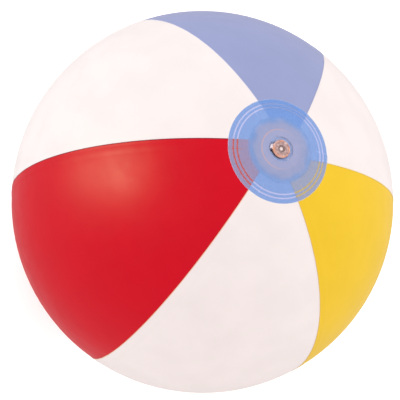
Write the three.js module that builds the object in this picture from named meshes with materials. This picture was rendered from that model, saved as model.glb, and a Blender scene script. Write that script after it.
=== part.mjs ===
// Inflatable beach ball: six vinyl panels welded edge over edge, an end disc over each pole,
// and a soft push-in valve with a captive plug in the top disc.
// Millimetres, +Z up. The ball stands on the flat that its bottom disc makes on the ground,
// with the valve on top, and the origin is the middle of that flat.
import * as THREE from 'three';

// Driving dimensions: the inflated skin.
const EQUATOR_RADIUS = 162.5; // outer face of the panels
const POLE_RADIUS = 160.6; // the ball is a little flat at the poles
const CONTACT_RADIUS = 22; // flat that the ball stands on
const DISC_RADIUS = 40.5; // the two end discs
const PANEL_END_RADIUS = 22.8; // where the panels stop under the discs
const LAP_WIDTH = 5; // width of the weld where one panel lies on the next
const LAP_STEP = 1.2; // width over which the top film steps down beside a lap
const EDGE_GAP = 0.4; // clearance from a panel's edge to that step
const PANEL_FILM = 0.2; // thickness of the panels
const DISC_FILM = 0.3; // thickness of the end discs
const WELD_GAP = 0.15; // clearance left between welded layers

// Driving dimensions: the valve, with heights below the top of the closed plug.
const WELL_RADIUS = 9.6; // hole in the valve disc, which the valve sinks into
const PLUG_PROUD = 0.6; // how far the plug stands above the disc
const CAP_RADIUS = 7;
const CAP_THICKNESS = 1.8;
const CAP_DISH_RADIUS = 3;
const CAP_DISH_DEPTH = 0.8;
const NUB_RADIUS = 3.5;
const NUB_TIP_RADIUS = 1.7; // tapered, so that the plug can swing out of the bore
const NUB_LENGTH = 4.8;
const CAP_BEVEL = 0.4;
const BORE_RADIUS = 3.7;
const STEM_RADIUS = 5.3;
const STEM_LENGTH = 17;
const LIP_RADIUS = 6;
const LIP_THICKNESS = 1.2;
const FLANGE_RADIUS = 15.8;
const FLANGE_THICKNESS = 0.6;
const DIAPHRAGM_WALL = 0.8;
const DIAPHRAGM_TOP = 1.5; // heights of its top edge, of the end of its straight part, and of its foot
const DIAPHRAGM_BEND = 4.9;
const DIAPHRAGM_FOOT = 13.5;
const STRAP_WIDTH = 4;
const STRAP_THICKNESS = 0.8;
const STRAP_LOOP_RADIUS = 1.35; // to the middle of the strap's thickness
const STRAP_LOOP_REACH = 7.1; // from the ball's axis to the middle of the loop
const STRAP_LOOP_DROP = 2.5;
const STRAP_LOOP_START = -115; // degrees, from the loop's outermost point
const STRAP_LOOP_END = 20;
const STRAP_AZIMUTH = 229; // degrees about +Z
const FLAP_RADIUS = 4.5;
const FLAP_THICKNESS = 0.6;
const FLAP_TAB_HALF_WIDTH = 1.6;
const PART_GAP = 0.3; // clearance between neighbouring valve pieces

// Fineness of the curved faces.
const ROWS_UNDER_DISC = 2;
const ROWS_BETWEEN_DISCS = 32;
const COLUMNS_PER_PANEL = 8;
const DISC_SEGMENTS = 48;
const VALVE_SEGMENTS = 32;
const ARC_STEPS = 8;

// The panels in order about +Z, from azimuth 0. Each starts on the last one's edge.
const PANELS = [
  { name: 'panel_yellow', colour: 0xf5c945 },
  { name: 'panel_white_1', colour: 0xf8f4f0 },
  { name: 'panel_blue', colour: 0xa5aad7 },
  { name: 'panel_white_2', colour: 0xf8f4f0 },
  { name: 'panel_red', colour: 0xd2192c },
  { name: 'panel_white_3', colour: 0xf8f4f0 },
];
const DISC_COLOUR = 0x8aa8dc;
const VALVE_COLOUR = 0xd8a898;

// Layers of the skin, measured outward from the outer face of the panels.
const LAP_LAYER = WELD_GAP + PANEL_FILM;
const DISC_UNDERSIDE = LAP_LAYER + WELD_GAP;
const DISC_TOP = DISC_UNDERSIDE + DISC_FILM;

const degrees = THREE.MathUtils.degToRad;
const ball = new THREE.Group();

function vinyl(colour, opacity = 1) {
  return new THREE.MeshStandardMaterial({
    color: colour,
    roughness: 0.35,
    metalness: 0,
    transparent: opacity < 1,
    opacity,
  });
}

function add(name, geometry, material) {
  const mesh = new THREE.Mesh(geometry, material);
  mesh.name = name;
  ball.add(mesh);
  return mesh;
}

// A point of the ball's profile: `tilt` is the angle from the top pole, `layer` the distance outward.
function profilePoint(tilt, layer) {
  const across = Math.sin(tilt) / EQUATOR_RADIUS;
  const up = Math.cos(tilt) / POLE_RADIUS;
  const scale = layer / Math.hypot(across, up);
  return new THREE.Vector2(
    EQUATOR_RADIUS * Math.sin(tilt) + scale * across,
    POLE_RADIUS * Math.cos(tilt) + scale * up,
  );
}

const tiltAtRadius = (radius) => Math.asin(radius / EQUATOR_RADIUS);
const CENTRE_HEIGHT = profilePoint(tiltAtRadius(CONTACT_RADIUS), DISC_TOP).y;
const DOME_TOP = CENTRE_HEIGHT + POLE_RADIUS + DISC_TOP;
const PLUG_TOP = DOME_TOP + PLUG_PROUD;

// Even steps from one value to another, ends included.
function steps(from, to, count) {
  return Array.from({ length: count + 1 }, (_, i) => THREE.MathUtils.lerp(from, to, i / count));
}

// Turns a closed (radius, height) outline about +Z.
function turned(outline, segments) {
  const geometry = new THREE.LatheGeometry(outline, segments);
  geometry.rotateX(Math.PI / 2);
  return geometry;
}

const at = (radius, height) => new THREE.Vector2(radius, height);

// ---- Panels ----

// Tilts of the rows of a panel, shared by the discs so that their facets lie parallel.
function panelTilts() {
  const end = tiltAtRadius(PANEL_END_RADIUS);
  const disc = tiltAtRadius(DISC_RADIUS);
  const top = steps(end, disc, ROWS_UNDER_DISC);
  const middle = steps(disc, Math.PI - disc, ROWS_BETWEEN_DISCS).slice(1, -1);
  const bottom = steps(Math.PI - disc, Math.PI - end, ROWS_UNDER_DISC);
  return [...top, ...middle, ...bottom];
}

// Azimuth and layer of each column of a panel in one row: the raised lap lies on the neighbour
// before it, then the film steps down, runs across, and ends under the neighbour after it.
function panelColumns(start, radius) {
  const lap = LAP_WIDTH / radius;
  const gap = EDGE_GAP / radius;
  const end = start + degrees(360 / PANELS.length);
  const across = steps(start + gap + LAP_STEP / radius, end - lap, COLUMNS_PER_PANEL);
  return [
    { azimuth: start - lap, layer: LAP_LAYER },
    { azimuth: start + gap, layer: LAP_LAYER },
    ...across.map((azimuth) => ({ azimuth, layer: 0 })),
    { azimuth: end - gap, layer: 0 },
  ];
}

function panelGeometry(start) {
  const rows = panelTilts().map((tilt) => {
    const columns = panelColumns(start, EQUATOR_RADIUS * Math.sin(tilt));
    return columns.map(({ azimuth, layer }) => ({ tilt, azimuth, layer }));
  });
  const width = rows[0].length;
  const positions = [];
  for (const sink of [0, PANEL_FILM]) {
    for (const { tilt, azimuth, layer } of rows.flat()) {
      const { x: radius, y: height } = profilePoint(tilt, layer - sink);
      positions.push(
        radius * Math.cos(azimuth),
        radius * Math.sin(azimuth),
        CENTRE_HEIGHT + height,
      );
    }
  }
  const outer = (row, column) => row * width + column;
  const inner = (row, column) => outer(row, column) + rows.length * width;
  const triangles = [];
  const quad = (a, b, c, d) => triangles.push(a, b, c, a, c, d);
  for (let i = 0; i < rows.length - 1; i++) {
    for (let j = 0; j < width - 1; j++) {
      quad(outer(i, j), outer(i + 1, j), outer(i + 1, j + 1), outer(i, j + 1));
      quad(inner(i + 1, j + 1), inner(i + 1, j), inner(i, j), inner(i, j + 1));
    }
    quad(outer(i, 0), inner(i, 0), inner(i + 1, 0), outer(i + 1, 0));
    const last = width - 1;
    quad(outer(i, last), outer(i + 1, last), inner(i + 1, last), inner(i, last));
  }
  for (let j = 0; j < width - 1; j++) {
    quad(outer(0, j), outer(0, j + 1), inner(0, j + 1), inner(0, j));
    const last = rows.length - 1;
    quad(outer(last, j), inner(last, j), inner(last, j + 1), outer(last, j + 1));
  }
  const geometry = new THREE.BufferGeometry();
  geometry.setAttribute('position', new THREE.Float32BufferAttribute(positions, 3));
  geometry.setIndex(triangles);
  return geometry;
}

function addPanels() {
  PANELS.forEach(({ name, colour }, i) => {
    add(name, panelGeometry(degrees((360 / PANELS.length) * i)), vinyl(colour));
  });
}

// ---- End discs ----

// Heights of a disc's face over the given radii; `side` is 1 at the top pole and -1 at the bottom.
function discFace(tilts, layer, side) {
  return tilts.map((tilt) => {
    const point = profilePoint(tilt, layer);
    return at(point.x, CENTRE_HEIGHT + side * point.y);
  });
}

function discTilts(innerRadius) {
  const inner = tiltAtRadius(innerRadius);
  const end = tiltAtRadius(PANEL_END_RADIUS);
  const outer = tiltAtRadius(DISC_RADIUS);
  return [...steps(inner, end, ROWS_UNDER_DISC), ...steps(end, outer, ROWS_UNDER_DISC).slice(1)];
}

// The valve disc is a ring of the ball's own curve, around the well.
function valveDisc() {
  const tilts = discTilts(WELL_RADIUS);
  const underside = discFace(tilts, DISC_UNDERSIDE, 1);
  const top = discFace(tilts, DISC_TOP, 1).reverse();
  return turned([...underside, ...top, underside[0]], DISC_SEGMENTS);
}

// The end disc is flat where the ball stands on it.
function endDisc() {
  const tilts = steps(tiltAtRadius(CONTACT_RADIUS), tiltAtRadius(DISC_RADIUS), ROWS_UNDER_DISC + 1);
  const ground = discFace(tilts, DISC_TOP, -1);
  const inside = discFace(tilts, DISC_UNDERSIDE, -1).reverse();
  const outline = [at(0, 0), at(ground[0].x, 0), ...ground.slice(1), ...inside, at(0, DISC_FILM)];
  return turned(outline, DISC_SEGMENTS);
}

function addDiscs() {
  add('valve_disc', valveDisc(), vinyl(DISC_COLOUR, 0.7));
  add('end_disc', endDisc(), vinyl(DISC_COLOUR, 0.7));
}

// ---- Valve ----

const STEM_TOP = PLUG_TOP - CAP_THICKNESS - PART_GAP;
const STEM_BOTTOM = STEM_TOP - STEM_LENGTH;

// Ring welded to the inside of the valve disc.
function valveFlange() {
  const inner = WELL_RADIUS + DIAPHRAGM_WALL / 2 + PART_GAP;
  const tilts = steps(tiltAtRadius(inner), tiltAtRadius(FLANGE_RADIUS), 1);
  const top = discFace(tilts, LAP_LAYER, 1).reverse();
  const underside = discFace(tilts, LAP_LAYER - FLANGE_THICKNESS, 1);
  return turned([...underside, ...top, underside[0]], VALVE_SEGMENTS);
}

// Thin sleeve from the flange down to the foot of the stem. It turns inside out as the stem moves.
function valveDiaphragm() {
  const half = DIAPHRAGM_WALL / 2;
  const middle = [
    at(STEM_RADIUS + PART_GAP + half, PLUG_TOP - DIAPHRAGM_FOOT),
    at(WELL_RADIUS, PLUG_TOP - DIAPHRAGM_BEND),
    at(WELL_RADIUS, PLUG_TOP - DIAPHRAGM_TOP),
  ];
  const outside = middle.map(({ x, y }) => at(x + half, y));
  const inside = middle.map(({ x, y }) => at(x - half, y)).reverse();
  return turned([...outside, ...inside, outside[0]], VALVE_SEGMENTS);
}

// Tube that is blown into, with a lip that the plug closes on.
function valveStem() {
  const outline = [
    at(BORE_RADIUS, STEM_BOTTOM),
    at(STEM_RADIUS, STEM_BOTTOM),
    at(STEM_RADIUS, STEM_TOP - LIP_THICKNESS),
    at(LIP_RADIUS, STEM_TOP - LIP_THICKNESS),
    at(LIP_RADIUS, STEM_TOP),
    at(BORE_RADIUS, STEM_TOP),
    at(BORE_RADIUS, STEM_BOTTOM),
  ];
  return turned(outline, VALVE_SEGMENTS);
}

// Dished cap with a tapered nub that fills the mouth of the bore.
function valvePlug() {
  const capUnderside = PLUG_TOP - CAP_THICKNESS;
  const outline = [
    at(0, capUnderside - NUB_LENGTH),
    at(NUB_TIP_RADIUS, capUnderside - NUB_LENGTH),
    at(NUB_RADIUS, capUnderside),
    at(CAP_RADIUS - CAP_BEVEL, capUnderside),
    at(CAP_RADIUS, capUnderside + CAP_BEVEL),
    at(CAP_RADIUS, PLUG_TOP - CAP_BEVEL),
    at(CAP_RADIUS - CAP_BEVEL, PLUG_TOP),
    at(CAP_DISH_RADIUS, PLUG_TOP),
    at(CAP_DISH_RADIUS - CAP_BEVEL, PLUG_TOP - CAP_DISH_DEPTH),
    at(0, PLUG_TOP - CAP_DISH_DEPTH),
  ];
  return turned(outline, VALVE_SEGMENTS);
}

// Band in a small loop beside the lip, which keeps the plug on the stem.
function plugStrap() {
  const half = STRAP_THICKNESS / 2;
  const from = degrees(STRAP_LOOP_START);
  const to = degrees(STRAP_LOOP_END);
  const shape = new THREE.Shape();
  shape.absarc(0, 0, STRAP_LOOP_RADIUS + half, from, to, false);
  shape.absarc(0, 0, STRAP_LOOP_RADIUS - half, to, from, true);
  shape.closePath();
  const geometry = new THREE.ExtrudeGeometry(shape, {
    depth: STRAP_WIDTH,
    bevelEnabled: false,
    curveSegments: ARC_STEPS,
  });
  geometry.translate(0, 0, -STRAP_WIDTH / 2);
  geometry.rotateX(Math.PI / 2);
  geometry.translate(STRAP_LOOP_REACH, 0, PLUG_TOP - STRAP_LOOP_DROP);
  geometry.rotateZ(degrees(STRAP_AZIMUTH));
  return geometry;
}

// Flap that closes the foot of the bore against the air inside, on a tab beside the stem's wall.
function checkFlap() {
  const tabAngle = Math.asin(FLAP_TAB_HALF_WIDTH / FLAP_RADIUS);
  const shape = new THREE.Shape();
  shape.absarc(0, 0, FLAP_RADIUS, tabAngle, 2 * Math.PI - tabAngle, false);
  shape.lineTo(STEM_RADIUS, -FLAP_TAB_HALF_WIDTH);
  shape.lineTo(STEM_RADIUS, FLAP_TAB_HALF_WIDTH);
  shape.closePath();
  const geometry = new THREE.ExtrudeGeometry(shape, {
    depth: FLAP_THICKNESS,
    bevelEnabled: false,
    curveSegments: 3 * ARC_STEPS,
  });
  geometry.translate(0, 0, STEM_BOTTOM - PART_GAP - FLAP_THICKNESS);
  geometry.rotateZ(degrees(STRAP_AZIMUTH + 180));
  return geometry;
}

function addValve() {
  const soft = () => vinyl(VALVE_COLOUR, 0.8);
  add('valve_flange', valveFlange(), soft());
  add('valve_diaphragm', valveDiaphragm(), soft());
  add('valve_stem', valveStem(), soft());
  add('plug_strap', plugStrap(), soft());
  add('valve_plug', valvePlug(), soft());
  add('check_flap', checkFlap(), soft());
}

addPanels();
addDiscs();
addValve();

export default ball;
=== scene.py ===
import math

import bpy
import bmesh
import numpy as np
from mathutils import Matrix, Vector


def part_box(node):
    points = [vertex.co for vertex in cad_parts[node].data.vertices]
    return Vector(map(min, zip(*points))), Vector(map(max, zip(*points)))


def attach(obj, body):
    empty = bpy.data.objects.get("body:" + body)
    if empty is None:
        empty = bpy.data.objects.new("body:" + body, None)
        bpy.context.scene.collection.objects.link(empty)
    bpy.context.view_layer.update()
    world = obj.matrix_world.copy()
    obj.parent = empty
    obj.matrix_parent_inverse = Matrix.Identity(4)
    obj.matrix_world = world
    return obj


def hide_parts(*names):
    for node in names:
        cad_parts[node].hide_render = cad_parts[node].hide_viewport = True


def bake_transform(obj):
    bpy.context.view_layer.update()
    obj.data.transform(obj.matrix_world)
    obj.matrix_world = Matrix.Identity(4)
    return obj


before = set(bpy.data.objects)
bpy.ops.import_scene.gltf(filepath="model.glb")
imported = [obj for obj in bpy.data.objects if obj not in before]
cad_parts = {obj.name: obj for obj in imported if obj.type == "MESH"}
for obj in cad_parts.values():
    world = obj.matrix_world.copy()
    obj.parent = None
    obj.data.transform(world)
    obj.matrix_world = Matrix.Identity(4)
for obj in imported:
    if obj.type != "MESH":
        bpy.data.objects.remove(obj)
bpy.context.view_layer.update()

MM = 0.001

# The skin, as in the CAD. Layers are measured outward from the outer face of the panels.
EQUATOR_RADIUS = 162.5 * MM
POLE_RADIUS = 160.6 * MM
CONTACT_RADIUS = 22 * MM  # flat that the ball stands on
DISC_RADIUS = 40.5 * MM
PANEL_END_RADIUS = 22.8 * MM
PANEL_COUNT = 6
PANEL_ANGLE = 2 * math.pi / PANEL_COUNT
LAP_WIDTH = 5 * MM
LAP_STEP = 4 * MM  # width over which the top film settles beside a lap
EDGE_GAP = 0.4 * MM
PANEL_FILM = 0.2 * MM
DISC_FILM = 0.3 * MM
LAP_LAYER = 0.25 * MM
DISC_TOP = 0.8 * MM

# Relief of the skin.
SEAM_VALLEY = 0.15 * MM  # how far a seam draws the skin in
SEAM_VALLEY_WIDTH = 9 * MM
PUCKER_HEIGHT = 0.07 * MM
PUCKER_WIDTH = 11 * MM
WELD_LINE_DEPTH = 0.06 * MM
DISC_PRESSED = 0.08 * MM  # underside of a disc where it is welded flat on the panels
WELD_RING_RADII = (33.8 * MM, 36.7 * MM)
WELD_RING_HALF_WIDTH = 0.75 * MM
WELD_RING_DEPTH = 0.1 * MM
FLANGE_RING_RADIUS = 15.4 * MM

# The valve. Depths are below the top of the closed plug.
PLUG_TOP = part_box("valve_plug")[1].z
STRAP_AZIMUTH = math.radians(229)
WELL_RADIUS = 9.6 * MM

SHARP_ANGLE = math.radians(38)


# ---- Curve of the ball ----


def tilt_at_radius(radius):
    """Angle from the pole at which the skin is that far from the ball's axis."""
    return np.arcsin(radius / EQUATOR_RADIUS)


def profile(tilt, layer):
    """Radius, and height above the ball's centre, of the skin at an angle from the top pole."""
    across = np.sin(tilt) / EQUATOR_RADIUS
    up = np.cos(tilt) / POLE_RADIUS
    scale = layer / np.hypot(across, up)
    return EQUATOR_RADIUS * np.sin(tilt) + scale * across, POLE_RADIUS * np.cos(tilt) + scale * up


CENTRE_HEIGHT = float(profile(tilt_at_radius(CONTACT_RADIUS), DISC_TOP)[1])


def skin_point(azimuth, tilt, layer):
    """Points of the skin in the row frame, as an array whose last axis is x, y, z."""
    azimuth, tilt, layer = np.broadcast_arrays(azimuth, tilt, layer)
    radius, height = profile(tilt, layer)
    return np.stack(
        [radius * np.cos(azimuth), radius * np.sin(azimuth), CENTRE_HEIGHT + height], axis=-1
    )


def smooth_step(value, low, high):
    share = np.clip((value - low) / (high - low), 0, 1)
    return share * share * (3 - 2 * share)


def nearest_seam(azimuth, radius):
    """Number of the nearest seam, and the distance past its visible edge."""
    seam = np.round(azimuth / PANEL_ANGLE)
    return seam, radius * (azimuth - seam * PANEL_ANGLE) + LAP_WIDTH


def seam_relief(azimuth, tilt):
    """Outward shift that every layer of the skin shares: seams draw it in, and pucker a little."""
    radius = EQUATOR_RADIUS * np.sin(tilt)
    seam, past = nearest_seam(azimuth, radius)
    aside = past - LAP_WIDTH / 2
    along = EQUATOR_RADIUS * tilt + 0.35 * np.abs(aside)
    phase = 2.4 * np.mod(seam, PANEL_COUNT)
    wave = (
        0.5 * np.sin(2 * math.pi * along / (17 * MM) + phase)
        + 0.3 * np.sin(2 * math.pi * along / (11 * MM) + 2.7 * phase)
        + 0.2 * np.sin(2 * math.pi * along / (29 * MM) + 4.1 * phase)
    )
    open_skin = smooth_step(radius, DISC_RADIUS, DISC_RADIUS + 25 * MM)
    valley = -SEAM_VALLEY * np.exp(-((aside / SEAM_VALLEY_WIDTH) ** 2))
    puckers = PUCKER_HEIGHT * wave * np.exp(-((aside / PUCKER_WIDTH) ** 2))
    return open_skin * (valley + puckers)


# ---- Mesh building ----


def lofted(name, sections, around=False):
    """A closed object through sections, each a closed loop of as many points. With `around`,
    the last section joins the first; otherwise both ends are closed."""
    sections = np.asarray(sections, float)
    count, size = sections.shape[:2]
    faces = []
    for i in range(count if around else count - 1):
        here, there = i * size, (i + 1) % count * size
        for j in range(size):
            k = (j + 1) % size
            faces.append((here + j, here + k, there + k, there + j))
    if not around:
        for end in (0, (count - 1) * size):
            for j in range(size // 2 - 1):
                faces.append((end + j, end + j + 1, end + size - 2 - j, end + size - 1 - j))
    mesh = bpy.data.meshes.new(name)
    mesh.from_pydata(sections.reshape(-1, 3).tolist(), [], faces)
    work = bmesh.new()
    work.from_mesh(mesh)
    bmesh.ops.remove_doubles(work, verts=work.verts, dist=1e-7)
    bmesh.ops.recalc_face_normals(work, faces=work.faces)
    work.to_mesh(mesh)
    work.free()
    mesh.shade_smooth()
    mesh.set_sharp_from_angle(angle=SHARP_ANGLE)
    piece = bpy.data.objects.new(name, mesh)
    bpy.context.scene.collection.objects.link(piece)
    return piece


def rounded(outline, radius, steps=4):
    """The outline with its corners rounded, apart from those on the ball's axis."""
    corners = [Vector(point) for point in outline]
    result = []
    for i, corner in enumerate(corners):
        before = corners[i - 1] - corner
        after = corners[(i + 1) % len(corners)] - corner
        if corner.x < 1e-9:
            result.append(corner)
            continue
        reach = min(radius, before.length / 2.2, after.length / 2.2)
        start = corner + before.normalized() * reach
        end = corner + after.normalized() * reach
        for share in np.linspace(0, 1, steps + 1):
            result.append(start.lerp(corner, share).lerp(corner.lerp(end, share), share))
    return result


def turned(name, outline, segments=128):
    """Turns a closed outline of (radius, height) about the ball's axis."""
    outline = np.array([tuple(point) for point in outline])
    angles = np.linspace(0, 2 * math.pi, segments, endpoint=False)[:, None]
    radius, height = outline[:, 0], outline[:, 1]
    heights = np.broadcast_to(height, (segments, len(height)))
    sections = np.stack([radius * np.cos(angles), radius * np.sin(angles), heights], axis=-1)
    return lofted(name, sections, around=True)


def valve_outline(*points):
    """Outline in row-frame metres from (radius, depth below the plug's top) pairs in mm."""
    return [(radius * MM, PLUG_TOP - depth * MM) for radius, depth in points]


def finish_piece(piece, material, body, slot, *nodes):
    """Gives a rigid piece its material and its body, and hides the CAD nodes it replaces; the record
    slot is not used.
    """
    piece.data.materials.append(material)
    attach(piece, body)
    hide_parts(*nodes)


# ---- Panels ----

PANEL_ROWS = 190
ACROSS_COLUMNS = 30


def panel_tilts():
    end = tilt_at_radius(PANEL_END_RADIUS)
    return np.linspace(end, math.pi - end, PANEL_ROWS)[:, None]


def panel_columns():
    """Columns as (share of the panel's open width, distance beside it, layer), from the raised
    first edge, down the step, across the panel, and under the next panel's lap."""
    lap_end = LAP_WIDTH + EDGE_GAP
    lap = [(0, past, LAP_LAYER - weld_line(past)) for past in np.linspace(0, lap_end, 9)]
    step = [
        (0, past, LAP_LAYER * (1 - smooth_step(past, lap_end, lap_end + LAP_STEP)))
        for past in np.linspace(lap_end, lap_end + LAP_STEP, 9)[1:]
    ]
    shares = (1 - np.cos(np.linspace(0, math.pi, ACROSS_COLUMNS))) / 2
    across = [(share, (1 - share) * (lap_end + LAP_STEP), 0) for share in shares[1:]]
    under = [(1, LAP_WIDTH * part - EDGE_GAP * part, 0) for part in (0.5, 1)]
    return np.array(lap + step + across + under)


def weld_line(past):
    """Depth of the line that the welding bar leaves along the middle of a lap."""
    return WELD_LINE_DEPTH * math.exp(-(((past - LAP_WIDTH / 2) / (0.8 * MM)) ** 2))


def build_panel(name, index, material, slot):
    tilts = panel_tilts()
    share, beside, layer = panel_columns().T
    radius = EQUATOR_RADIUS * np.sin(tilts)
    azimuth = (index + share) * PANEL_ANGLE + (beside - LAP_WIDTH) / radius
    layer = layer + seam_relief(azimuth, tilts)
    outer = skin_point(azimuth, tilts, layer)
    inner = skin_point(azimuth, tilts, layer - PANEL_FILM)
    piece = lofted("ball_" + name, np.concatenate([outer, inner[:, ::-1]], axis=1))
    finish_piece(piece, material, "ball", slot, name)


# ---- End discs ----

DISC_SEGMENTS = 288


def over_laps(azimuth, radius):
    """1 where a disc lies on a lap, down to 0 where it lies on a single panel."""
    past = nearest_seam(azimuth, radius)[1]
    ramp = 2.2 * MM
    end = LAP_WIDTH + EDGE_GAP
    return smooth_step(past, -ramp, 0) * (1 - smooth_step(past, end, end + ramp))


def disc_underside(azimuth, radius):
    """Layer of a disc's underside: it stands clear of the flange, and is pressed on the panels."""
    clear = DISC_TOP - DISC_FILM
    middle = 1 - smooth_step(radius, PANEL_END_RADIUS + 1 * MM, PANEL_END_RADIUS + 8 * MM)
    return DISC_PRESSED + (clear - DISC_PRESSED) * np.maximum(middle, over_laps(azimuth, radius))


def weld_rings(radius):
    """1 at the middle of a weld ring and 0 beside it."""
    return sum(np.exp(-(((radius - ring) / WELD_RING_HALF_WIDTH) ** 4)) for ring in WELD_RING_RADII)


def disc_radii(inner):
    """Radii of a disc's rows, closest together at its welds and at its rim."""
    first_weld, last_weld = WELD_RING_RADII
    margin = 1.6 * MM
    return np.concatenate([
        np.linspace(inner, first_weld - margin, 24, endpoint=False),
        np.linspace(first_weld - margin, last_weld + margin, 36, endpoint=False),
        np.linspace(last_weld + margin, DISC_RADIUS - DISC_FILM / 2, 8),
    ])


def disc_section(azimuth, inner, side):
    """One section of a disc, from its inner radius out along its face and back underneath.
    `side` is 1 at the top pole and -1 at the bottom."""
    radii = disc_radii(inner)
    bend = np.linspace(math.pi / 2, -math.pi / 2, 7)[1:-1]
    half = DISC_FILM / 2
    radius = np.concatenate([radii, radii[-1] + half * np.cos(bend), radii[::-1]])
    above = np.concatenate([np.full(len(radii), half), half * np.sin(bend), np.full(len(radii), -half)])
    pressed = np.where(above > 0, WELD_RING_DEPTH * weld_rings(radius), 0)
    layer = disc_underside(azimuth, radius) + half + above - pressed
    tilt = tilt_at_radius(radius)
    layer = layer + seam_relief(azimuth, tilt)
    points = skin_point(azimuth, tilt, layer)
    if side < 0:
        points[:, 2] = 2 * CENTRE_HEIGHT - points[:, 2]
        points[:, 2] = np.maximum(points[:, 2], np.where(above > -half, 0, DISC_FILM))
    return points


def build_disc(name, inner, side, material):
    azimuths = np.linspace(0, 2 * math.pi, DISC_SEGMENTS, endpoint=False)
    sections = [disc_section(azimuth, inner, side) for azimuth in azimuths]
    piece = lofted("ball_" + name, sections, around=True)
    piece.visible_shadow = False
    piece.visible_diffuse = False
    finish_piece(piece, material, "ball", "disc_vinyl", name)


# ---- Valve ----


def build_flange(material):
    outline = valve_outline(
        (10.4, 1.95), (15.0, 2.3), (15.5, 2.1), (15.8, 2.35), (15.7, 2.75), (10.4, 2.4),
    )
    piece = turned("valve_flange_ring", rounded(outline, 0.2 * MM))
    finish_piece(piece, material, "ball", "valve_vinyl", "valve_flange")


# Middle line of the diaphragm, as (radius, depth, share of the strap's pocket), in mm.
DIAPHRAGM_LINE = (
    (9.45, 1.7, 0.0),
    (9.3, 2.05, 0.35),
    (8.7, 2.4, 0.9),
    (7.8, 2.7, 1.0),
    (7.0, 3.05, 1.0),
    (6.6, 3.5, 1.0),
    (6.55, 4.2, 1.0),
    (7.2, 5.4, 0.7),
    (7.5, 6.5, 0.3),
    (7.0, 7.7, 0.0),
    (6.2, 8.9, 0.0),
    (5.95, 10.5, 0.0),
    (5.9, 12.0, 0.0),
    (5.95, 13.3, 0.0),
)
DIAPHRAGM_WALL = 0.45
STRAP_POCKET = 1.5
POCKET_HALF_ANGLE = math.radians(24)


def smoothed(points, steps=4):
    """Points on a Catmull-Rom curve through the given points."""
    points = np.asarray(points, float)
    padded = np.vstack([2 * points[0] - points[1], points, 2 * points[-1] - points[-2]])
    result = []
    for a, b, c, d in zip(padded, padded[1:], padded[2:], padded[3:]):
        for t in np.linspace(0, 1, steps, endpoint=False):
            result.append(
                0.5 * (2 * b + (c - a) * t + (2 * a - 5 * b + 4 * c - d) * t**2
                       + (3 * b - a - 3 * c + d) * t**3)
            )
    return np.array(result + [points[-1]])


def thickened(line, thickness):
    """Closed outline at an even distance round an open line in a plane, with rounded ends."""
    line = np.asarray(line, float)
    along = np.gradient(line, axis=0)
    along /= np.linalg.norm(along, axis=1)[:, None]
    aside = np.stack([-along[:, 1], along[:, 0]], axis=1) * thickness / 2
    bend = np.linspace(0, math.pi, 7)[1:-1, None]
    last = line[-1] + np.cos(bend) * aside[-1] + np.sin(bend) * along[-1] * thickness / 2
    first = line[0] - np.cos(bend) * aside[0] - np.sin(bend) * along[0] * thickness / 2
    return np.concatenate([line + aside, last, (line - aside)[::-1], first])


def build_diaphragm(material):
    line = smoothed(DIAPHRAGM_LINE)
    sections = []
    for azimuth in np.linspace(0, 2 * math.pi, 144, endpoint=False):
        away = math.remainder(azimuth - STRAP_AZIMUTH, 2 * math.pi)
        pocket = STRAP_POCKET * math.exp(-((away / POCKET_HALF_ANGLE) ** 4))
        middle = np.stack([line[:, 0], line[:, 1] + pocket * line[:, 2]], axis=1)
        radius, depth = thickened(middle, DIAPHRAGM_WALL).T * MM
        sections.append(np.stack(
            [radius * math.cos(azimuth), radius * math.sin(azimuth), PLUG_TOP - depth], axis=1
        ))
    piece = lofted("valve_sleeve", sections, around=True)
    piece.data.materials.append(material)
    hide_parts("valve_diaphragm")
    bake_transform(piece)


def build_stem(material):
    outline = valve_outline(
        (3.7, 19.1), (5.3, 19.1), (5.3, 14.2), (5.5, 14.0), (5.3, 13.8),
        (5.3, 3.5), (6.0, 3.2), (6.0, 2.1), (3.9, 2.1), (3.7, 2.4),
    )
    piece = turned("valve_tube", rounded(outline, 0.3 * MM))
    finish_piece(piece, material, "stem", "valve_vinyl", "valve_stem")


def build_plug(material):
    outline = valve_outline(
        (0, 6.6), (1.5, 6.6), (2.0, 5.6), (3.4, 2.0), (6.9, 1.8), (7.0, 0.1), (5.6, 0.0), (5.3, 0.25),
        (3.4, 0.2), (3.1, 0.05), (2.7, 0.15), (2.4, 1.0), (1.8, 1.0), (1.3, 0.6), (0, 0.45),
    )
    piece = turned("valve_cap", rounded(outline, 0.35 * MM))
    finish_piece(piece, material, "plug", "valve_vinyl", "valve_plug")


# Middle line of the strap from the stem's lip, round its loop, to the cap, as (radius, depth) in mm.
STRAP_LINE = (
    (5.7, 2.75),
    (6.5, 3.1),
    (7.4, 3.45),
    (8.2, 3.2),
    (8.55, 2.5),
    (8.35, 1.75),
    (7.8, 1.2),
    (7.1, 0.95),
    (6.6, 0.95),
)
STRAP_WIDTH = 3.8
STRAP_THICKNESS = 0.6


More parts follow.
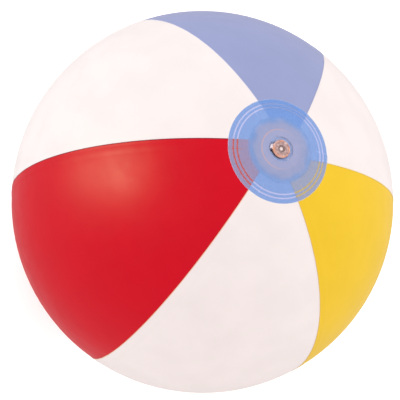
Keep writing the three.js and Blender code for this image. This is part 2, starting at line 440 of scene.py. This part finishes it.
def build_strap(material):
    line = smoothed(STRAP_LINE, 6)
    along = np.gradient(line, axis=0)
    along /= np.linalg.norm(along, axis=1)[:, None]
    aside = np.stack([-along[:, 1], along[:, 0]], axis=1)
    half_width, half_thickness = STRAP_WIDTH / 2, STRAP_THICKNESS / 2
    corners = [(-1, -1), (1, -1), (1, 1), (-1, 1)]
    # Drawn away from x = 0, because `rounded` leaves corners on the axis as they are.
    offset = 10
    rim = rounded([(x * half_width + offset, y * half_thickness) for x, y in corners], 0.28)
    out = Vector((math.cos(STRAP_AZIMUTH), math.sin(STRAP_AZIMUTH), 0))
    across = Vector((-out.y, out.x, 0))
    sections = []
    for (radius, depth), (lift_radius, lift_depth) in zip(line, aside):
        section = []
        for x, y in rim:
            point = out * (radius + lift_radius * y) + across * (x - offset)
            section.append((point.x * MM, point.y * MM, PLUG_TOP - (depth + lift_depth * y) * MM))
        sections.append(section)
    piece = lofted("valve_strap", sections)
    piece.data.materials.append(material)
    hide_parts("plug_strap")
    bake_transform(piece)


def build_flap(material):
    """The flap under the stem, a small disc with a tab on the side away from the strap."""
    radius, tab_half, tab_reach, bevel = 4.5 * MM, 1.6 * MM, 5.3 * MM, 0.15 * MM
    low, high = (corner.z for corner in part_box("check_flap"))
    tab_angle = math.asin(tab_half / radius)
    angles = np.linspace(tab_angle, 2 * math.pi - tab_angle, 64)
    rim = [(radius * math.cos(a), radius * math.sin(a)) for a in angles]
    rim = np.array([(tab_reach, tab_half)] + rim + [(tab_reach, -tab_half)])
    turn = STRAP_AZIMUTH + math.pi
    x = rim[:, 0] * math.cos(turn) - rim[:, 1] * math.sin(turn)
    y = rim[:, 0] * math.sin(turn) + rim[:, 1] * math.cos(turn)
    sections = []
    inset = 1 - bevel / radius
    for height, scale in ((low, inset), (low + bevel, 1), (high - bevel, 1), (high, inset)):
        sections.append(np.stack([x * scale, y * scale, np.full(len(x), height)], axis=1))
    piece = lofted("valve_flap", sections)
    finish_piece(piece, material, "flap", "valve_vinyl", "check_flap")


# ---- Materials ----


class Nodes:
    """A material with one Principled shader, and short ways to add nodes before it."""

    def __init__(self, name):
        self.material = bpy.data.materials.new(name)
        self.material.use_nodes = True
        self.tree = self.material.node_tree
        self.shader = self.tree.nodes["Principled BSDF"]
        coordinates = self.tree.nodes.new("ShaderNodeTexCoord")
        self.place = coordinates.outputs["Object"]

    def feed(self, socket, value):
        if isinstance(value, bpy.types.NodeSocket):
            self.tree.links.new(value, socket)
        else:
            socket.default_value = value

    def maths(self, operation, first, second=0.0, clamp=False):
        node = self.tree.nodes.new("ShaderNodeMath")
        node.operation = operation
        node.use_clamp = clamp
        self.feed(node.inputs[0], first)
        self.feed(node.inputs[1], second)
        return node.outputs[0]

    def noise(self, scale, detail=2.0, roughness=0.5):
        node = self.tree.nodes.new("ShaderNodeTexNoise")
        node.inputs["Scale"].default_value = scale
        node.inputs["Detail"].default_value = detail
        node.inputs["Roughness"].default_value = roughness
        self.tree.links.new(self.place, node.inputs["Vector"])
        return node.outputs["Fac"]

    def between(self, value, low, high, to_low=0.0, to_high=1.0):
        """Maps low..high to to_low..to_high, with a smooth start and end."""
        node = self.tree.nodes.new("ShaderNodeMapRange")
        node.interpolation_type = "SMOOTHSTEP"
        self.feed(node.inputs["Value"], value)
        node.inputs["From Min"].default_value = low
        node.inputs["From Max"].default_value = high
        node.inputs["To Min"].default_value = to_low
        node.inputs["To Max"].default_value = to_high
        return node.outputs["Result"]

    def mix(self, share, first, second):
        node = self.tree.nodes.new("ShaderNodeMix")
        node.data_type = "RGBA"
        self.feed(node.inputs["Factor"], share)
        self.feed(node.inputs["A"], first)
        self.feed(node.inputs["B"], second)
        return node.outputs["Result"]

    def distance_along(self, direction, middle=(0, 0, 0)):
        """Distance from a plane through `middle`, positive on the side that `direction` points to."""
        offset = self.tree.nodes.new("ShaderNodeVectorMath")
        offset.operation = "SUBTRACT"
        self.tree.links.new(self.place, offset.inputs[0])
        offset.inputs[1].default_value = middle
        dot = self.tree.nodes.new("ShaderNodeVectorMath")
        dot.operation = "DOT_PRODUCT"
        self.tree.links.new(offset.outputs["Vector"], dot.inputs[0])
        dot.inputs[1].default_value = direction
        return dot.outputs["Value"]

    def radius(self):
        """Distance from the ball's axis."""
        x = self.distance_along((1, 0, 0))
        y = self.distance_along((0, 1, 0))
        squares = self.maths("ADD", self.maths("MULTIPLY", x, x), self.maths("MULTIPLY", y, y))
        return self.maths("SQRT", squares)

    def bump(self, height, strength, distance):
        node = self.tree.nodes.new("ShaderNodeBump")
        node.inputs["Strength"].default_value = strength
        node.inputs["Distance"].default_value = distance
        self.tree.links.new(height, node.inputs["Height"])
        self.tree.links.new(node.outputs["Normal"], self.shader.inputs["Normal"])

    def set(self, **values):
        for name, value in values.items():
            self.feed(self.shader.inputs[name.replace("_", " ")], value)


def colour(red, green, blue, scale=1.0):
    return (red * scale, green * scale, blue * scale, 1.0)


def grey(level):
    return colour(level, level, level)


def ring_share(nodes, radius, ring, half_width, blur):
    """1 within half_width of a ring round the axis, down to 0 over the blur beside it."""
    away = nodes.maths("ABSOLUTE", nodes.maths("SUBTRACT", radius, ring))
    return nodes.between(away, half_width, half_width + blur, 1.0, 0.0)


def weld_share(nodes, radius):
    """1 at either weld ring."""
    shares = [ring_share(nodes, radius, ring, 0.32 * MM, 0.45 * MM) for ring in WELD_RING_RADII]
    return nodes.maths("MAXIMUM", *shares)


def panel_material(name, index, vinyl):
    """Satin vinyl of one panel."""
    base, edge, under_disc, under_weld = vinyl
    nodes = Nodes("vinyl_" + name)
    mottle = nodes.between(nodes.noise(38, 3), 0.3, 0.7)
    grain = nodes.noise(1900, 2)
    shade = nodes.mix(mottle, base, colour(*base[:3], scale=0.965))
    azimuth = index * PANEL_ANGLE
    # A thin line beside the lap's cut edge takes the vinyl's edge colour: painted shade on the coloured
    # panels, and on the white ones the tint of the panel under the lap.
    past_edge = nodes.distance_along((-math.sin(azimuth), math.cos(azimuth), 0))
    past_edge = nodes.maths("ADD", past_edge, LAP_WIDTH)
    rim = nodes.between(nodes.maths("ABSOLUTE", past_edge), 0.35 * MM, 0.85 * MM, 0.9, 0.0)
    toward = nodes.distance_along((math.cos(azimuth), math.sin(azimuth), 0))
    rim = nodes.maths("MULTIPLY", rim, nodes.between(toward, 0.0, 0.01))
    shade = nodes.mix(rim, shade, edge)
    radius = nodes.radius()
    covered = nodes.between(radius, DISC_RADIUS - 0.3 * MM, DISC_RADIUS - 0.1 * MM, 1.0, 0.0)
    film = nodes.mix(weld_share(nodes, radius), under_disc, under_weld)
    shade = nodes.mix(covered, shade, film)
    roughness = nodes.between(nodes.noise(70, 4), 0.3, 0.7, 0.37, 0.43)
    nodes.set(Base_Color=shade, Roughness=roughness, Specular_IOR_Level=0.09)
    nodes.bump(grain, 0.12, 0.00008)
    return nodes.material


# Alpha of one face of a disc's film. A line of sight passes two faces, so the film hides more.
FILM_ALPHA = 0.368
MIDDLE_ALPHA = 0.76
WELD_ALPHA = 0.163


def disc_material():
    """Translucent blue film, seen through more at its welds and hardly at all in the middle."""
    nodes = Nodes("blue_film")
    radius = nodes.radius()
    uneven = nodes.between(nodes.noise(90, 2), 0.3, 0.7, -1.4 * MM, 1.4 * MM)
    middle = nodes.between(nodes.maths("ADD", radius, uneven), 19.0 * MM, 25.5 * MM, 1.0, 0.0)
    # Past the ends of the panels, so that no dark gap shows beside them.
    dense = nodes.between(radius, PANEL_END_RADIUS + 0.4 * MM, PANEL_END_RADIUS + 4.4 * MM, 1.0, 0.0)
    welded = weld_share(nodes, radius)
    mottle = nodes.between(nodes.noise(160, 5, 0.7), 0.3, 0.7)
    over_panels = nodes.mix(mottle, colour(0.124, 0.226, 0.45), colour(0.116, 0.214, 0.43))
    over_hollow = nodes.mix(mottle, colour(0.225, 0.265, 0.415), colour(0.205, 0.250, 0.405))
    shade = nodes.mix(middle, over_panels, over_hollow)
    shade = nodes.mix(welded, shade, colour(0.12, 0.18, 0.26))
    # Painted highlight: a pale line along the film's cut edge, where the edge would catch the light.
    rim = nodes.between(radius, DISC_RADIUS - 0.35 * MM, DISC_RADIUS - 0.05 * MM)
    shade = nodes.mix(nodes.maths("MULTIPLY", rim, 0.6), shade, colour(0.36, 0.44, 0.60))
    # The flange's salmon rim is painted on the film as a thin line, stronger on the strap side: partly
    # the flange seen through the film, partly a painted highlight where its rim catches the light.
    strap_side = nodes.distance_along((math.cos(STRAP_AZIMUTH), math.sin(STRAP_AZIMUTH), 0))
    flange = ring_share(nodes, radius, FLANGE_RING_RADIUS, 0.2 * MM, 0.3 * MM)
    flange = nodes.maths("MULTIPLY", flange, nodes.between(strap_side, -10 * MM, 12 * MM, 0.12, 0.75))
    shade = nodes.mix(flange, shade, colour(0.42, 0.28, 0.26))
    alpha = nodes.mix(dense, grey(FILM_ALPHA), grey(MIDDLE_ALPHA))
    alpha = nodes.mix(welded, alpha, grey(WELD_ALPHA))
    alpha = nodes.maths("MAXIMUM", alpha, nodes.maths("MULTIPLY", rim, 0.6))
    nodes.set(Base_Color=shade, Alpha=alpha, Specular_IOR_Level=0.12)
    nodes.set(Roughness=nodes.between(nodes.noise(90, 3), 0.3, 0.7, 0.20, 0.30))
    nodes.bump(nodes.noise(1400, 3), 0.18, 0.0001)
    return nodes.material


def moulded_material(nodes, shade):
    """Finishes a soft clear moulding: glossy, with a faintly lumpy surface."""
    nodes.set(Base_Color=shade, Alpha=0.95)
    nodes.set(Roughness=nodes.between(nodes.noise(600, 2), 0.3, 0.7, 0.12, 0.24))
    nodes.set(Coat_Weight=0.3, Coat_Roughness=0.08, Specular_IOR_Level=0.4)
    nodes.bump(nodes.noise(900, 3), 0.35, 0.00012)
    return nodes.material


def cloudy_material(name, pale, deep):
    """Soft clear moulding with clouds of a second colour in it."""
    nodes = Nodes(name)
    cloud = nodes.between(nodes.noise(420, 3, 0.6), 0.35, 0.65)
    return moulded_material(nodes, nodes.mix(cloud, pale, deep))


def plug_material():
    """Clear moulding that gathers amber at the cap's rim, round a milky middle, with a dark ring of
    painted shade in the dish and a pale painted highlight at its centre.
    """
    nodes = Nodes("plug_moulding")
    radius = nodes.radius()
    cloud = nodes.between(nodes.noise(520, 4, 0.65), 0.38, 0.62)
    amber = nodes.mix(cloud, colour(0.50, 0.24, 0.14), colour(0.40, 0.19, 0.13))
    milky = nodes.mix(cloud, colour(0.42, 0.31, 0.30), colour(0.24, 0.16, 0.15))
    # The amber comes and goes round the rim, with pale patches in it that are painted highlights.
    patches = nodes.between(nodes.noise(230, 2, 0.6), 0.43, 0.55, 0.15, 1.0)
    edge = nodes.between(radius, 4.4 * MM, 6.2 * MM)
    shade = nodes.mix(nodes.maths("MULTIPLY", edge, patches), milky, amber)
    pale = nodes.between(nodes.noise(310, 3, 0.6), 0.54, 0.63, 0.0, 0.8)
    shade = nodes.mix(nodes.maths("MULTIPLY", edge, pale), shade, colour(0.62, 0.48, 0.46))
    # Painted shade: a dark ring where the dish's groove would lie in shade.
    ring = ring_share(nodes, radius, 2.3 * MM, 0.35 * MM, 0.6 * MM)
    shade = nodes.mix(nodes.maths("MULTIPLY", ring, 0.7), shade, colour(0.16, 0.12, 0.13))
    # Painted highlight: a pale spot on the little dome in the middle of the dish.
    centre = nodes.between(radius, 0.8 * MM, 1.6 * MM, 0.9, 0.0)
    shade = nodes.mix(centre, shade, colour(0.60, 0.56, 0.54))
    return moulded_material(nodes, shade)


def floor_material():
    nodes = Nodes("studio_floor")
    paper = nodes.mix(nodes.noise(3, 2), colour(0.93, 0.93, 0.93), colour(0.95, 0.95, 0.945))
    nodes.set(Base_Color=paper, Roughness=0.8, Specular_IOR_Level=0.1)
    nodes.set(Emission_Color=colour(1.0, 1.0, 1.0), Emission_Strength=0.18)
    return nodes.material


# A vinyl is its own colour, the colour of its lap's cut edge (darker on the coloured vinyls: painted
# shade), and what shows of it through the disc's film, between the welds and at them.
YELLOW_VINYL = (
    colour(0.555, 0.39, 0.018),
    colour(0.54, 0.36, 0.04),
    colour(0.338, 0.285, 0.198),
    colour(0.446, 0.33, 0.05),
)
BLUE_VINYL = (
    colour(0.20, 0.244, 0.407),
    colour(0.16, 0.20, 0.36),
    colour(0.098, 0.205, 0.508),
    colour(0.172, 0.238, 0.475),
)
RED_VINYL = (
    colour(0.41, 0.0, 0.009),
    colour(0.10, 0.004, 0.02),
    colour(0.338, 0.133, 0.093),
    colour(0.44, 0.03, 0.0),
)


def white_vinyl(edge):
    """White vinyl, whose cut edge takes its tint from the panel under the lap."""
    return colour(0.57, 0.564, 0.558), edge, colour(0.205, 0.303, 0.545), colour(0.39, 0.42, 0.666)


# The panels anticlockwise from azimuth 0, as name, record slot and vinyl.
PANELS = (
    ("yellow", "yellow_vinyl", YELLOW_VINYL),
    ("white_1", "white_vinyl", white_vinyl(colour(0.55, 0.50, 0.36))),
    ("blue", "blue_vinyl", BLUE_VINYL),
    ("white_2", "white_vinyl", white_vinyl(colour(0.46, 0.48, 0.55))),
    ("red", "red_vinyl", RED_VINYL),
    ("white_3", "white_vinyl", white_vinyl(colour(0.56, 0.33, 0.22))),
)


# ---- Floor, light and camera ----

CAMERA_AZIMUTH = math.radians(6.9)
CAMERA_ELEVATION = math.radians(64.2)
CAMERA_ROLL = math.radians(33.9)
CAMERA_DISTANCE = 6.5 * EQUATOR_RADIUS
HALF_VIEW = 0.1627  # tangent of half the camera's angle of view
CAMERA_SHIFT = (-0.0067, 0.0044)

WORLD_COLOUR = (1.0, 0.88, 0.87, 1.0)
WORLD_STRENGTH = 1.48
WORLD_GLOSS_STRENGTH = 0.8  # reflections see a darker studio, which keeps the colours deep


def camera_axes():
    """The directions right, up, and from the ball's centre to the camera."""
    level = math.cos(CAMERA_ELEVATION)
    back = Vector((
        math.sin(CAMERA_AZIMUTH) * level,
        -math.cos(CAMERA_AZIMUTH) * level,
        math.sin(CAMERA_ELEVATION),
    ))
    pole = (Vector((0, 0, 1)) - back * back.z).normalized()
    level_right = pole.cross(back)
    right = math.cos(CAMERA_ROLL) * pole + math.sin(CAMERA_ROLL) * level_right
    up = math.sin(CAMERA_ROLL) * pole - math.cos(CAMERA_ROLL) * level_right
    return right, up, back


def build_camera():
    data = bpy.data.cameras.new("camera")
    data.lens = data.sensor_width / 2 / HALF_VIEW
    data.shift_x, data.shift_y = CAMERA_SHIFT
    data.clip_start, data.clip_end = 0.05, 50
    camera = bpy.data.objects.new("camera", data)
    bpy.context.scene.collection.objects.link(camera)
    right, up, back = camera_axes()
    centre = Vector((0, 0, CENTRE_HEIGHT))
    camera.location = centre + back * CAMERA_DISTANCE
    camera.rotation_mode = "QUATERNION"
    camera.rotation_quaternion = Matrix((right, up, back)).transposed().to_quaternion()
    bpy.context.scene.camera = camera


def softbox(name, direction, distance, size, power, tint):
    """Square light, aimed at the ball's centre from a direction in the camera's axes."""
    data = bpy.data.lights.new(name, "AREA")
    data.shape = "SQUARE"
    data.size = size
    data.energy = power
    data.color = tint
    lamp = bpy.data.objects.new(name, data)
    bpy.context.scene.collection.objects.link(lamp)
    axes = camera_axes()
    toward = sum((axis * share for axis, share in zip(axes, direction)), Vector()).normalized()
    lamp.location = Vector((0, 0, CENTRE_HEIGHT)) + toward * distance
    lamp.rotation_mode = "QUATERNION"
    lamp.rotation_quaternion = toward.to_track_quat("Z", "Y")
    return lamp


def key(name, direction, power):
    """Warm lamp that only makes a highlight."""
    lamp = softbox(name, direction, 1.5, 0.5, power, (1.0, 0.85, 0.50))
    lamp.visible_diffuse = False


def fill(name, direction, power, tint=(1.0, 1.0, 1.0)):
    """Broad lamp that lights the colours and makes no highlight."""
    lamp = softbox(name, direction, 1.9, 1.2, power, tint)
    lamp.visible_glossy = False


def build_world():
    world = bpy.data.worlds.new("studio")
    bpy.context.scene.world = world
    world.use_nodes = True
    # Sampling the world as a lamp would put its full strength into the reflections.
    world.cycles.sampling_method = "NONE"
    tree = world.node_tree
    background = tree.nodes["Background"]
    background.inputs["Color"].default_value = WORLD_COLOUR
    rays = tree.nodes.new("ShaderNodeLightPath")
    strength = tree.nodes.new("ShaderNodeMapRange")
    tree.links.new(rays.outputs["Is Glossy Ray"], strength.inputs["Value"])
    strength.inputs["To Min"].default_value = WORLD_STRENGTH
    strength.inputs["To Max"].default_value = WORLD_GLOSS_STRENGTH
    tree.links.new(strength.outputs["Result"], background.inputs["Strength"])


def build_light():
    build_world()
    key("key_low", (-0.888, 0.253, 0.384), 14.0)
    key("key_high", (-0.68, 0.27, 0.68), 37.0)
    fill("fill_left", (-0.80, 0.45, 0.40), 8, (0.80, 1.0, 1.05))
    fill("fill_top", (-0.15, 0.80, 0.58), 4)
    fill("fill_right", (0.90, 0.30, 0.30), 10, (0.92, 1.0, 1.0))
    fill("fill_low", (0.20, -0.50, 0.84), 1.5)
    bpy.context.scene.view_settings.view_transform = "Standard"


def build_floor():
    """Pale sheet just under the ball's flat."""
    size = 12
    mesh = bpy.data.meshes.new("studio_floor")
    corners = [(-size, -size, 0), (size, -size, 0), (size, size, 0), (-size, size, 0)]
    mesh.from_pydata(corners, [], [(0, 1, 2, 3)])
    floor = bpy.data.objects.new("studio_floor", mesh)
    floor.location.z = -0.2 * MM
    floor.visible_glossy = False
    mesh.materials.append(floor_material())
    bpy.context.scene.collection.objects.link(floor)


def build_ball():
    for index, (name, slot, vinyl) in enumerate(PANELS):
        material = panel_material(name, index, vinyl)
        build_panel("panel_" + name, index, material, slot)
    film = disc_material()
    build_disc("valve_disc", WELL_RADIUS, 1, film)
    build_disc("end_disc", 0.0, -1, film)


def build_valve():
    clear = cloudy_material("clear_moulding", colour(0.40, 0.29, 0.27), colour(0.27, 0.16, 0.13))
    sleeve = cloudy_material("sleeve_moulding", colour(0.29, 0.39, 0.64), colour(0.23, 0.32, 0.57))
    # The strap's pale clouds are painted glints and its dark clouds painted specks of shade, on a milky
    # moulding.
    milky = cloudy_material("strap_moulding", colour(0.62, 0.60, 0.64), colour(0.22, 0.18, 0.26))
    build_flange(clear)
    build_diaphragm(sleeve)
    build_stem(clear)
    build_plug(plug_material())
    build_strap(milky)
    build_flap(clear)


build_camera()
build_light()
build_floor()
build_ball()
build_valve()
